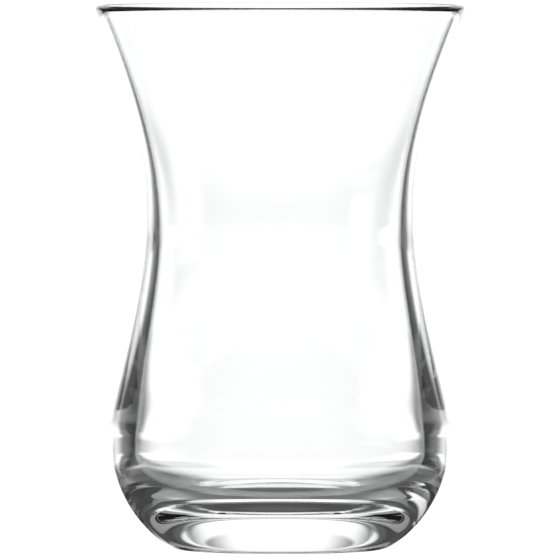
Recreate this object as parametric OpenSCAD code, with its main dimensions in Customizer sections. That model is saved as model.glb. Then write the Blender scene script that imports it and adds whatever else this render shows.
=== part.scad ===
// Turkish tea glass: a tulip-shaped tumbler blown in one piece of clear glass.
// A thick base stands on a narrow ring, the belly closes to a waist, and the wall then flares to a rounded lip.
// Frame: +Z up, origin at the middle of the ring that the glass stands on, Z is the axis of symmetry.

/* [Outside] */
// Height of the glass over its rounded lip
height = 84; // [68:1:104]
// Width over the lip
rim_d = 57; // [47:0.5:70]
// Width of the belly at its widest
belly_d = 52.6; // [43:0.2:64]
// Height of the widest part of the belly
belly_z = 17.4; // [14:0.2:21.4]
// Width of the waist at its narrowest
waist_d = 41; // [33:0.2:50]
// Height of the narrowest part of the waist
waist_z = 51.8; // [43:0.2:60]
// Lean of the wall just below the lip, in degrees from upright
flare_angle = 23; // [10:0.5:35]

/* [Foot] */
// Width of the flat that the glass stands on
foot_d = 31; // [27:0.2:38]
// How far the heel runs out level from the foot before it rises
heel_reach = 2.3; // [1:0.1:5]
// Width of the shallow hollow under the foot
push_up_d = 25; // [20:0.2:26.6]
// Depth of the hollow under the foot
push_up_h = 1.5; // [0.5:0.05:2]

/* [Wall] */
// Thickness of the rounded lip
lip_t = 1.25; // [0.9:0.05:1.8]
// Thickness of the wall at the waist
waist_wall = 1.75; // [1.2:0.05:2.4]
// Thickness of the wall at the belly
belly_wall = 3.9; // [3:0.1:5]

/* [Inside] */
// Height of the narrowest part of the inside
inner_waist_z = 47.6; // [40:0.2:56]
// Height of the widest part of the inside, in the belly
inner_belly_z = 16; // [14.4:0.1:19.2]
// Height of the middle of the floor over the table
floor_z = 8.5; // [7:0.1:10.4]
// Width of the low dome in the middle of the floor
dome_d = 23.5; // [19:0.5:29]
// Rise of the dome from its edge to its middle
dome_h = 0.75; // [0.3:0.05:1.2]

/* [Curves] */
// Pull of each curve towards its end tangents, as a share of the height between its two ends
lip_pull = 0.6; // [0.3:0.05:0.7]
// The same above the waist
waist_up_pull = 0.2; // [0.1:0.05:0.5]
// The same below the waist
waist_down_pull = 0.4; // [0.2:0.05:0.6]
// The same above the belly
belly_up_pull = 0.15; // [0.05:0.05:0.4]
// The same below the belly
belly_down_pull = 0.64; // [0.4:0.02:0.8]
// The same inside, below the narrowest part
inner_waist_pull = 0.26; // [0.1:0.02:0.5]
// The same inside, above the widest part
inner_belly_pull = 0.28; // [0.1:0.02:0.5]
// The same inside, where the wall of the belly turns down into the corner
corner_down_pull = 0.68; // [0.5:0.01:0.9]
// Pull of the same corner towards the floor, as a share of the width between the dome and the wall
corner_in_pull = 0.6; // [0.4:0.05:0.8]

/* [Hidden] */
curve_steps = 24; // straight pieces in each curve of the outline
lip_steps = 16;   // straight pieces round the lip
cap_steps = 12;   // straight pieces from the middle to the edge of a shallow cap
turn_fn = 180;    // finish of the turned shape where it is drawn as a mesh

lip_r = lip_t / 2;
lip_centre = [rim_d / 2 - lip_r, height - lip_r];
// Direction of the wall's outer normal where the lip begins
lip_normal = [cos(flare_angle), -sin(flare_angle)];
// Direction of the wall as it runs up to the lip
lip_run = [sin(flare_angle), cos(flare_angle)];
// Edge of the dome on the floor, and the dome's direction there
dome_edge = [dome_d / 2, floor_z - dome_h];
dome_flank = cap_flank(dome_d, dome_h);

// Points of a cubic curve from a to d with the handles b and c, without its first point
function curve(a, b, c, d) = [
    for (i = [1:curve_steps])
        let (t = i / curve_steps, u = 1 - t)
            u * u * u * a + 3 * u * u * t * b + 3 * u * t * t * c + t * t * t * d
];

// Radius of the arc of a shallow cap, d wide at its edge and h high in its middle
function cap_r(d, h) = (d * d / 4 + h * h) / (2 * h);

// Points of such a cap from its middle out to its edge, which is at height 0
function cap(d, h) = [
    for (i = [0:cap_steps])
        let (x = d / 2 * i / cap_steps)
            [x, h - cap_r(d, h) + sqrt(pow(cap_r(d, h), 2) - x * x)]
];

// Direction of the cap at its edge, outwards and down
function cap_flank(d, h) = [sqrt(pow(cap_r(d, h), 2) - d * d / 4), -d / 2] / cap_r(d, h);

// Hollow under the foot, from the middle out to the standing ring
function push_up() = cap(push_up_d, push_up_h);

// Dome in the middle of the floor, from just inside its edge to the middle
function dome() =
    let (points = cap(dome_d, dome_h))
        [for (i = [cap_steps - 1:-1:0]) points[i] + [0, dome_edge[1]]];

// Outside of the glass, from the foot up to the lip
function outside() =
    let (
        foot = [foot_d / 2, 0],
        belly = [belly_d / 2, belly_z],
        waist = [waist_d / 2, waist_z],
        lip = lip_centre + lip_r * lip_normal,
        waist_drop = waist_z - belly_z,
        lip_rise = lip[1] - waist_z
    )
    concat(
        [foot],
        curve(foot, foot + [heel_reach, 0], belly - [0, belly_down_pull * belly_z], belly),
        curve(belly, belly + [0, belly_up_pull * waist_drop], waist - [0, waist_down_pull * waist_drop], waist),
        curve(waist, waist + [0, waist_up_pull * lip_rise], lip - lip_pull * lip_rise * lip_run, lip)
    );

// Rounded lip, from its outside over the top to its inside
function lip() = [
    for (i = [1:lip_steps])
        let (a = 180 * i / lip_steps - flare_angle)
            lip_centre + lip_r * [cos(a), sin(a)]
];

// Inside of the glass, from the lip down to the middle of its floor
function inside() =
    let (
        lip = lip_centre - lip_r * lip_normal,
        waist = [waist_d / 2 - waist_wall, inner_waist_z],
        belly = [belly_d / 2 - belly_wall, inner_belly_z],
        lip_rise = lip[1] - inner_waist_z,
        waist_drop = inner_waist_z - inner_belly_z
    )
    concat(
        curve(lip, lip - lip_pull * lip_rise * lip_run, waist + [0, waist_up_pull * lip_rise], waist),
        curve(waist, waist - [0, inner_waist_pull * waist_drop], belly + [0, inner_belly_pull * waist_drop], belly),
        curve(belly, belly - [0, corner_down_pull * (belly[1] - dome_edge[1])],
            dome_edge + corner_in_pull * (belly[0] - dome_edge[0]) * dome_flank, dome_edge),
        dome()
    );

// The whole glass, turned about its axis
module glass() {
    color([0.93, 0.95, 0.95, 0.35])
        rotate_extrude($fn = turn_fn)
            polygon(concat(push_up(), outside(), lip(), inside()));
}

glass();
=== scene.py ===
# %% [markdown]
# # A tulip-shaped tea glass
# The object is one piece of clear, colourless glass: a thick base on a narrow foot, a round belly, a waist
# and a flared mouth with a rounded lip. Clear glass has no colour of its own to show. The eye reads it
# from what its edges bend into view, so this lesson spends most of its care on two things: an exact,
# smooth, closed shell, and light whose bright and dark parts are placed for this one glass.

import math

import bmesh
import bpy
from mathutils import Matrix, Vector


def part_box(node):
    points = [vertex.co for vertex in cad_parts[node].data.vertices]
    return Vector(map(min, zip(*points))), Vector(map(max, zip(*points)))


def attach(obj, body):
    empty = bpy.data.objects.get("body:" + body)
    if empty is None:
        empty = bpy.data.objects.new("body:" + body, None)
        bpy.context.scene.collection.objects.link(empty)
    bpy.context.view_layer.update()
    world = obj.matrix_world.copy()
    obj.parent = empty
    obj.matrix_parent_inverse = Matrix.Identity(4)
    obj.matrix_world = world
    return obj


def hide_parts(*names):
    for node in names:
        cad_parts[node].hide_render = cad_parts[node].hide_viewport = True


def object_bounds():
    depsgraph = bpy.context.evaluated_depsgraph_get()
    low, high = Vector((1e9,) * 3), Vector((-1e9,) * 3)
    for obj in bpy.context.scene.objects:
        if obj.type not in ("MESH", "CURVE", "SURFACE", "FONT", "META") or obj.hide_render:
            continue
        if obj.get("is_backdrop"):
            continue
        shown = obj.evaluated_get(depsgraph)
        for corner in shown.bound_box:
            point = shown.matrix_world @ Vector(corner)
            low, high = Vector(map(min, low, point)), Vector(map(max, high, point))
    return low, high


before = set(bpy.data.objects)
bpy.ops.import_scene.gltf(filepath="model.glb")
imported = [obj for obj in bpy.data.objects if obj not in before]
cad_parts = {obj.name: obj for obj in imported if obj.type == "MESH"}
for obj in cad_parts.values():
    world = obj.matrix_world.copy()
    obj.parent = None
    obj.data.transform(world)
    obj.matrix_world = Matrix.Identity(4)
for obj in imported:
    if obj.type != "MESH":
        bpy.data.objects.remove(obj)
cad_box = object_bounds()
glass_low, glass_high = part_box("glass")
height = glass_high.z
mouth_radius = glass_high.x
print(f"CAD glass: {height * 1000:.1f} mm tall, {mouth_radius * 2000:.1f} mm wide")

# %% [markdown]
# ## The outline
# The glass is round about its axis, so one half outline holds its whole form: the hollow under the foot,
# the heel, the belly, the waist, the lip, and the inside down to the middle of its floor. It could be
# drawn again here with curves, but then two files would hold the same sizes and could drift apart. Instead
# a plane through the axis cuts a merged copy of the CAD glass. The edges left on the cut, walked in order
# from the axis, are the outline.

# %% Cut the outline out of the CAD glass
MERGE = 1e-6            # metres; points closer than this are one point
NEAR_AXIS = 10 * MERGE  # points closer to the axis than this are on it


def cut_outline(cad_object):
    """A turned CAD object's half outline: (radius, height) pairs from the foot's middle to the floor's."""
    mesh = bmesh.new()
    mesh.from_mesh(cad_object.data)
    bmesh.ops.remove_doubles(mesh, verts=mesh.verts[:], dist=MERGE)
    everything = mesh.verts[:] + mesh.edges[:] + mesh.faces[:]
    bmesh.ops.bisect_plane(mesh, geom=everything, dist=MERGE, plane_co=(0, 0, 0), plane_no=(0, 1, 0),
                           clear_outer=True, clear_inner=True)
    bmesh.ops.remove_doubles(mesh, verts=mesh.verts[:], dist=MERGE)
    on_axis = [v for v in mesh.verts if abs(v.co.x) < NEAR_AXIS]
    point = min(on_axis, key=lambda v: v.co.z)
    walked, points = {point}, [(0.0, point.co.z)]
    while True:
        onward = [e.other_vert(point) for e in point.link_edges]
        onward = [v for v in onward if v not in walked and v.co.x > -NEAR_AXIS]
        if not onward:
            break
        point = onward[0]
        walked.add(point)
        points.append((max(point.co.x, 0.0), point.co.z))
    mesh.free()
    return points


outline = cut_outline(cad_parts["glass"])
base_thickness = outline[-1][1] - outline[0][1]
print(f"outline: {len(outline)} points; {base_thickness * 1000:.1f} mm of glass at the middle of the base")

# %% [markdown]
# ## The shell
# A glass this smooth shows every flat facet as a bent streak of light, because it works as a lens. So the
# outline is spun in many small steps, and the normals are shaded smooth. Both ends of the outline are on
# the axis, so the spin closes on itself: a shell with an outside and an inside, as a renderer needs to
# know where light enters glass and where it leaves. Doubles at the poles are merged first, and then the
# normals are recalculated.

# %% Spin the outline into a closed shell
TURN_STEPS = 256  # flat steps in a full turn


def turned(name, points, steps):
    """A closed mesh object, spun from a half outline whose two ends are on the axis."""
    mesh = bmesh.new()
    ring = [mesh.verts.new((radius, 0.0, z)) for radius, z in points]
    edges = [mesh.edges.new(pair) for pair in zip(ring, ring[1:])]
    bmesh.ops.spin(mesh, geom=ring + edges, cent=(0, 0, 0), axis=(0, 0, 1), angle=math.tau,
                   steps=steps, use_merge=True, use_duplicate=False)
    bmesh.ops.remove_doubles(mesh, verts=mesh.verts[:], dist=MERGE)
    bmesh.ops.recalc_face_normals(mesh, faces=mesh.faces[:])
    data = bpy.data.meshes.new(name)
    mesh.to_mesh(data)
    mesh.free()
    data.shade_smooth()
    piece = bpy.data.objects.new(name, data)
    bpy.context.scene.collection.objects.link(piece)
    return piece


glass = turned("tea_glass", outline, TURN_STEPS)
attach(glass, "root")
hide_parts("glass")
print(f"glass: {len(glass.data.vertices)} vertices, {len(glass.data.polygons)} faces")

# %% [markdown]
# ## Small helpers for nodes
# Materials and the world are built from many small sums. Four helpers keep them readable: they add a node
# with its settings, feed a socket from a number or from another socket, do one step of arithmetic, and fade
# from one value to another.

# %% Node helpers


def add_node(tree, kind, **settings):
    """One new node of a shader tree; settings are attributes of the node."""
    node = tree.nodes.new("ShaderNode" + kind)
    for name, value in settings.items():
        setattr(node, name, value)
    return node


def feed(tree, socket, value):
    """Put a number or another node's socket into a socket."""
    if isinstance(value, bpy.types.NodeSocket):
        tree.links.new(value, socket)
    else:
        socket.default_value = value


def calc(tree, operation, *values):
    """The result of one Math node."""
    node = add_node(tree, "Math", operation=operation)
    for socket, value in zip(node.inputs, values):
        feed(tree, socket, value)
    return node.outputs[0]


def fade(tree, value, start, end, low=0.0, high=1.0):
    """Low before start, high after end, and a smooth change between them."""
    node = add_node(tree, "MapRange", interpolation_type="SMOOTHSTEP")
    entries = {"Value": value, "From Min": start, "From Max": end, "To Min": low, "To Max": high}
    for name, entry in entries.items():
        feed(tree, node.inputs[name], entry)
    return node.outputs["Result"]


# %% [markdown]
# ## Clear glass
# Soda-lime glass bends light with an index of 1.52 and reflects about four percent of it face on. Those
# two come from the shader's own index and transmission, which stay plain numbers. Real blown glass is
# never perfectly even:
# - it carries a very faint cold tint, a little deeper here and there;
# - its skin ripples by a few hundredths of a millimetre over a centimetre or two, from the gather and the
#   mould;
# - handling leaves the polish a touch softer in patches.
#
# All three could be painted on as pictures, but noise in the object's own coordinates has no seams, needs
# no unwrapping, and stays sharp however near the camera comes. Each amount is kept so low that the glass
# still reads as clear. Only edges that bend light strongly show the ripple.

# %% Mix the clear glass
INDEX = 1.52
TINT_LIGHT = (0.994, 1.0, 0.998, 1.0)
TINT_DEEP = (0.982, 0.994, 0.989, 1.0)
TINT_SCALE = 35             # patches per metre, so patches about 30 mm wide
TINT_DETAIL = 1.0
RIPPLE_SCALE = 70           # about 14 mm from crest to crest
RIPPLE_DETAIL = 0.0         # smooth crests only
RIPPLE_DEPTH = 4e-5         # metres
POLISH_SCALE = 260          # patches about 4 mm wide
POLISH_DETAIL = 2.0
POLISH_EDGES = (0.5, 0.75)  # noise values where the softer patches begin and where they are softest
POLISH_ROUGHEST = 0.02


def noise(tree, scale, detail):
    """A noise value from 0 to 1 in the object's own coordinates."""
    place = add_node(tree, "TexCoord")
    node = add_node(tree, "TexNoise")
    feed(tree, node.inputs["Vector"], place.outputs["Object"])
    feed(tree, node.inputs["Scale"], scale)
    feed(tree, node.inputs["Detail"], detail)
    return node.outputs["Fac"]


def new_material(name):
    """An empty node material and its tree."""
    material = bpy.data.materials.new(name)
    material.use_nodes = True
    material.node_tree.nodes.clear()
    return material, material.node_tree


glass_material, tree = new_material("clear_glass")
shader = add_node(tree, "BsdfPrincipled")
shader.inputs["IOR"].default_value = INDEX
shader.inputs["Transmission Weight"].default_value = 1.0
shader.inputs["Metallic"].default_value = 0.0

tint = add_node(tree, "Mix", data_type="RGBA")
feed(tree, tint.inputs["Factor"], noise(tree, TINT_SCALE, TINT_DETAIL))
tint.inputs["A"].default_value = TINT_LIGHT
tint.inputs["B"].default_value = TINT_DEEP
feed(tree, shader.inputs["Base Color"], tint.outputs["Result"])

polish = fade(tree, noise(tree, POLISH_SCALE, POLISH_DETAIL), *POLISH_EDGES, 0.0, POLISH_ROUGHEST)
feed(tree, shader.inputs["Roughness"], polish)

ripple = add_node(tree, "Bump")
feed(tree, ripple.inputs["Height"], noise(tree, RIPPLE_SCALE, RIPPLE_DETAIL))
ripple.inputs["Distance"].default_value = RIPPLE_DEPTH
feed(tree, shader.inputs["Normal"], ripple.outputs["Normal"])

surface = add_node(tree, "OutputMaterial")
feed(tree, surface.inputs["Surface"], shader.outputs["BSDF"])
glass.data.materials.append(glass_material)
print(f"clear glass: index {INDEX}, ripple {RIPPLE_DEPTH * 1e6:.0f} micrometres deep")

# %% [markdown]
# ## Light that draws a clear glass
# A clear glass on a white table vanishes unless something dark stands at its sides. A studio answers with
# a bright sheet behind the glass and darkness to the left and right of it. Rays near the outline are bent
# outwards, run past the sheet's edge into the dark, and draw the thin grey line. Rays through the middle
# stay on the sheet and stay white. The farther out a ray lands, the darker it gets, so the sheet's edge
# must be soft.
#
# Lamps and cards could make this light, but a lamp seen through glass is a bright shape of its own, and
# lamps bring noise. Here the table and the surroundings glow by themselves, with a brightness worked out
# from the direction. The cells below write that as a law of two angles: the turn from a heading, and the
# height over the horizon. A straight look at the table or the background sees one plain pale tone.
#
# The numbers of the law were found by trial, one picture after another. They stand in for a studio by
# putting light and dark where this glass needs them. They don't describe a real one.

# %% Angles of the light
SHEET = 1.14           # brightness of the sheet behind the glass, where plain white is 1
SHEET_CORE = (8, 14)   # degrees from the sheet's middle: its even part, and the start of its wings
SIDE_FADE = (37, 48)   # degrees from the sheet's middle over which the dark at the sides gets deeper
SIDE_NEAR = 0.105      # brightness just beyond the sheet's edge
SIDE_FAR = 0.045       # brightness well to the sides
BACK_HEADING = 0.0     # the sheet stands along +Y
FRONT_HEADING = math.pi
LEFT_HEADING = -math.pi / 2
LEFT_EDGES = (10, 24)  # degrees from the left panel's middle over which it ends
SEEN = 1.1             # brightness of whatever the camera sees directly


def radians(*degrees):
    """Angles in radians."""
    return [math.radians(angle) for angle in degrees]


def turn_from(tree, x, y, heading):
    """How far the direction x, y is turned from a heading, 0 to pi; heading 0 is +Y, and pi / 2 is +X."""
    ahead = (math.sin(heading), math.cos(heading))
    along = calc(tree, "ADD", calc(tree, "MULTIPLY", x, ahead[0]), calc(tree, "MULTIPLY", y, ahead[1]))
    across = calc(tree, "SUBTRACT", calc(tree, "MULTIPLY", x, ahead[1]), calc(tree, "MULTIPLY", y, ahead[0]))
    return calc(tree, "ARCTAN2", calc(tree, "ABSOLUTE", across), along)


def panel(tree, x, y, heading, edges, bright, side=0.0):
    """A soft-edged glow about a heading: bright before the first angle, side past the second."""
    return fade(tree, turn_from(tree, x, y, heading), *radians(*edges), bright, side)


def dark_sides(tree, x, y):
    """The dark past the sheet's edges, deeper farther round."""
    return fade(tree, turn_from(tree, x, y, BACK_HEADING), *radians(*SIDE_FADE), SIDE_NEAR, SIDE_FAR)


def sheet(tree, x, y, edges, wing):
    """The sheet behind the glass: an even middle, wings with their own tone, and the dark past them."""
    middle = panel(tree, x, y, BACK_HEADING, SHEET_CORE, SHEET, wing)
    return panel(tree, x, y, BACK_HEADING, edges, middle, dark_sides(tree, x, y))


def left_panel(tree, x, y):
    """A narrower panel along -X, so that a view from the side has its own bright ground."""
    return panel(tree, x, y, LEFT_HEADING, LEFT_EDGES, SHEET)


def seen_plain(tree, strength):
    """The strength for light that goes through the glass, and one plain tone for a straight look."""
    path = add_node(tree, "LightPath")
    return fade(tree, path.outputs["Is Camera Ray"], 0, 1, strength, SEEN)


print(f"the sheet spans {2 * SHEET_CORE[0]} degrees evenly; the dark begins near {SIDE_FADE[0]} degrees")

# %% [markdown]
# ## Table
# The table is a plain pale disc. Its glow matters to the glass in five ways:
# - a low look finds a painted reflection of the sheet's pattern, so that the horizon is hidden;
# - in that painted reflection the sheet's wings are dimmer near the glass and brighter far behind it;
# - a steep look finds plain white, as on any lit table;
# - close to the foot, a steep look finds plain white at the back, dark painted shade at the left and right,
#   and half-dark painted shade in front;
# - right under the foot almost no light gets in.
#
# The last two are painted shade and shadow, and darken the bands of the base. The angle between the ray and
# the table tells low looks from steep ones, the distance from the axis finds the foot, and the depth along Y
# tells the near wings from the far ones. The painted shade and the two tones of the wings were found by
# trial, as the law above was.
#
# A lit, slightly glossy table with real shadows could give such tones too, with lamps to place and more
# noise. A law of place is steady and quick, but it holds for this glass on this spot only.

# %% Build the table
TABLE_RADIUS = 0.45            # metres
TABLE_SEGMENTS = 128
TABLE_DROP = 5e-5              # metres below the foot, so that glass and table never share a plane
LOOK_EDGES = (0.70, 0.78)      # facing value between a steep look and a low one
WING_EDGES = (21, 33)          # degrees from +Y over which the wings end
# tones of the sheet's wings near the glass and far behind it, in the table's painted reflection; the far
# tone also lights the surroundings
WING_NEAR, WING_FAR = 0.9, 1.6
WING_REACH = (0.10, 0.16)      # metres along +Y over which the near wings pass into the far ones
PLAIN = 1.12                   # brightness that a steep look finds
NEAR_SIDE_SHADE = 0.1                # painted shade close to the foot on its left and right
NEAR_SIDE_EDGES = (24, 48)     # degrees from +Y over which that dark begins
NEAR_FRONT_SHADE = 0.54              # painted shade close to the foot in front, towards -Y
NEAR_FRONT_EDGES = (125, 140)  # degrees from +Y over which the front begins
NEAR_REACH = (0.05, 0.065)     # metres from the axis over which the painted shade near the foot ends
SHADOW_UNDER_FOOT = 0.05              # brightness of the painted shadow under the foot
FOOT_RADIUS = 0.0155           # metres
FOOT_SOFT = 0.002              # metres over which the shade under the foot ends
FACING_BLEND = 0.5             # the setting that leaves the facing value as it is

mesh = bmesh.new()
bmesh.ops.create_circle(mesh, cap_ends=True, segments=TABLE_SEGMENTS, radius=TABLE_RADIUS)
table_mesh = bpy.data.meshes.new("table")
mesh.to_mesh(table_mesh)
mesh.free()
table = bpy.data.objects.new("table", table_mesh)
bpy.context.scene.collection.objects.link(table)
table.location.z = -TABLE_DROP
table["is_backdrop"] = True

table_material, tree = new_material("pale_table")
place = add_node(tree, "TexCoord")
split = add_node(tree, "SeparateXYZ")
feed(tree, split.inputs["Vector"], place.outputs["Object"])
x, y = split.outputs["X"], split.outputs["Y"]
away = calc(tree, "SQRT", calc(tree, "ADD", calc(tree, "MULTIPLY", x, x), calc(tree, "MULTIPLY", y, y)))

# painted reflection of the sheet, its wings and the left panel, for rays that meet the table low
low_look_reflection = sheet(tree, x, y, WING_EDGES, fade(tree, y, *WING_REACH, WING_NEAR, WING_FAR))
low_look_reflection = calc(tree, "MAXIMUM", low_look_reflection, left_panel(tree, x, y))
facing = add_node(tree, "LayerWeight")
facing.inputs["Blend"].default_value = FACING_BLEND
turn = turn_from(tree, x, y, BACK_HEADING)
# painted shade close to the foot for steep looks: dark at the left and right, half dark in front, plain
# white at the back
near = fade(tree, turn, *radians(*NEAR_SIDE_EDGES), PLAIN, NEAR_SIDE_SHADE)
near = fade(tree, turn, *radians(*NEAR_FRONT_EDGES), near, NEAR_FRONT_SHADE)
steep_look = fade(tree, away, *NEAR_REACH, near, PLAIN)
# low looks get the painted reflection; steep looks get plain white with the painted shade near the foot
glow = fade(tree, facing.outputs["Facing"], *LOOK_EDGES, steep_look, low_look_reflection)
# painted shadow under the foot, fading out just past its edge
glow = fade(tree, away, FOOT_RADIUS, FOOT_RADIUS + FOOT_SOFT, SHADOW_UNDER_FOOT, glow)

lamp = add_node(tree, "Emission")
feed(tree, lamp.inputs["Strength"], seen_plain(tree, glow))
surface = add_node(tree, "OutputMaterial")
feed(tree, surface.inputs["Surface"], lamp.outputs["Emission"])
table.data.materials.append(table_material)
print(f"table: {2 * TABLE_RADIUS:.1f} m wide, {TABLE_DROP * 1e6:.0f} micrometres under the foot")

# %% [markdown]
# ## Surroundings
# Past the table the same law goes on round the horizon, in bands of height. Up to the horizon it copies
# the far part of the table, with its bright wings, and above that stands the upright sheet. Higher up a
# fairly dim ring goes round the sides, since a rounded lip and the inside of the far wall throw light from
# there towards the camera. At the back the sheet goes on upwards, then comes a dark gap, and a bright
# ceiling closes the top. A dim front keeps reflections on the near wall quiet. As on the table, the numbers
# come from trial.
#
# Cards hung in the air could do much of this, but each would have to be seen through the glass without its
# frame or its edge. A formula has no edges other than the soft ones given here.

# %% Light the surroundings
# EDGES are degrees from the middle of a panel over which it ends, and BAND is degrees over the horizon over
# which one band of height passes into the next.
BACK = 1.15                 # the upright sheet
BACK_EDGES = (12, 32)
LOW_BAND = (-1.5, 1.0)      # from the copy of the table to the upright sheet
FRONT = 0.28                # least brightness in front
FRONT_EDGES = (40, 70)
LEFT_BAND = (0.5, 2)        # the left panel ends just over the horizon
RING = 0.33                 # the quiet ring round the sides, higher up
SHEET_TOP = 1.1             # the sheet, higher up
SHEET_TOP_EDGES = (26, 40)
SHEET_TOP_BAND = (9, 12)
GAP = 0.15                  # the dark between the sheet's upper edge and the ceiling
GAP_EDGES = (40, 60)
GAP_BAND = (20, 24)
CEILING = 1.13
CEILING_BAND = (40, 60)

world = bpy.data.worlds.new("studio")
bpy.context.scene.world = world
world.use_nodes = True
tree = world.node_tree
background = tree.nodes["Background"]
background.inputs["Color"].default_value = (1, 1, 1, 1)
direction = add_node(tree, "TexCoord")
split = add_node(tree, "SeparateXYZ")
feed(tree, split.inputs["Vector"], direction.outputs["Generated"])
x, y, z = split.outputs["X"], split.outputs["Y"], split.outputs["Z"]
lift = calc(tree, "ARCSINE", z)

upright = panel(tree, x, y, BACK_HEADING, BACK_EDGES, BACK, dark_sides(tree, x, y))
glow = fade(tree, lift, *radians(*LOW_BAND), sheet(tree, x, y, WING_EDGES, WING_FAR), upright)
glow = calc(tree, "MAXIMUM", glow, panel(tree, x, y, FRONT_HEADING, FRONT_EDGES, FRONT))
level = fade(tree, lift, *radians(*LEFT_BAND), 1.0, 0.0)
glow = calc(tree, "MAXIMUM", glow, calc(tree, "MULTIPLY", left_panel(tree, x, y), level))
sheet_top = panel(tree, x, y, BACK_HEADING, SHEET_TOP_EDGES, SHEET_TOP, RING)
glow = fade(tree, lift, *radians(*SHEET_TOP_BAND), glow, sheet_top)
gap = panel(tree, x, y, BACK_HEADING, GAP_EDGES, GAP, RING)
glow = fade(tree, lift, *radians(*GAP_BAND), glow, gap)
glow = fade(tree, lift, *radians(*CEILING_BAND), glow, CEILING)
feed(tree, background.inputs["Strength"], seen_plain(tree, glow))
print(f"surroundings: {len(tree.nodes)} nodes")

# %% [markdown]
# ## Camera
# A long lens from far away keeps the foot, the waist and the lip in nearly flat proportion, and it shows
# the rim as a very thin ellipse: the camera stands only about two degrees above the level of the glass.
# All distances are shares of the glass's height.

# %% Place the camera
CAMERA_DISTANCE = 25.81 * height
CAMERA_HEIGHT = 1.419 * height
AIM_HEIGHT = 0.4945 * height
FRAME_HEIGHT = 1.0294 * height  # how much of the upright through the axis the picture takes in
SENSOR = 36                     # millimetres

camera_data = bpy.data.cameras.new("camera")
camera = bpy.data.objects.new("camera", camera_data)
bpy.context.scene.collection.objects.link(camera)
camera.location = (0, -CAMERA_DISTANCE, CAMERA_HEIGHT)
drop = CAMERA_HEIGHT - AIM_HEIGHT
look_down = math.atan2(drop, CAMERA_DISTANCE)
camera.rotation_euler = (math.pi / 2 - look_down, 0, 0)
camera_data.sensor_width = SENSOR
camera_data.lens = SENSOR * math.hypot(drop, CAMERA_DISTANCE) / FRAME_HEIGHT
bpy.context.scene.camera = camera
print(f"camera: {CAMERA_DISTANCE:.2f} m away, looking down {math.degrees(look_down):.1f} degrees")

# %% [markdown]
# ## Paths of light
# A ray can meet glass a dozen times on its way through the base, and each end that comes too early is a
# black speck. So the glass is given more bounces than usual. The plain view transform keeps the table's
# white as it is.

# %% Allow enough bounces
BOUNCES = 24
GLOSSY_BOUNCES = 16
scene = bpy.context.scene
scene.cycles.max_bounces = BOUNCES
scene.cycles.transmission_bounces = BOUNCES
scene.cycles.glossy_bounces = GLOSSY_BOUNCES
scene.view_settings.view_transform = "Standard"
print(f"light paths: up to {BOUNCES} bounces")

# %% [markdown]
# ## Check the size
# The finished glass is made from the CAD outline, so it must fill the same box. The largest difference
# between the two boxes is printed.

# %% Compare the sizes and finish
finished_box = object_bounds()
difference = max(abs(a - b) for cad, new in zip(cad_box, finished_box) for a, b in zip(cad, new))
print(f"largest difference between the two boxes: {difference * 1000:.4f} mm")
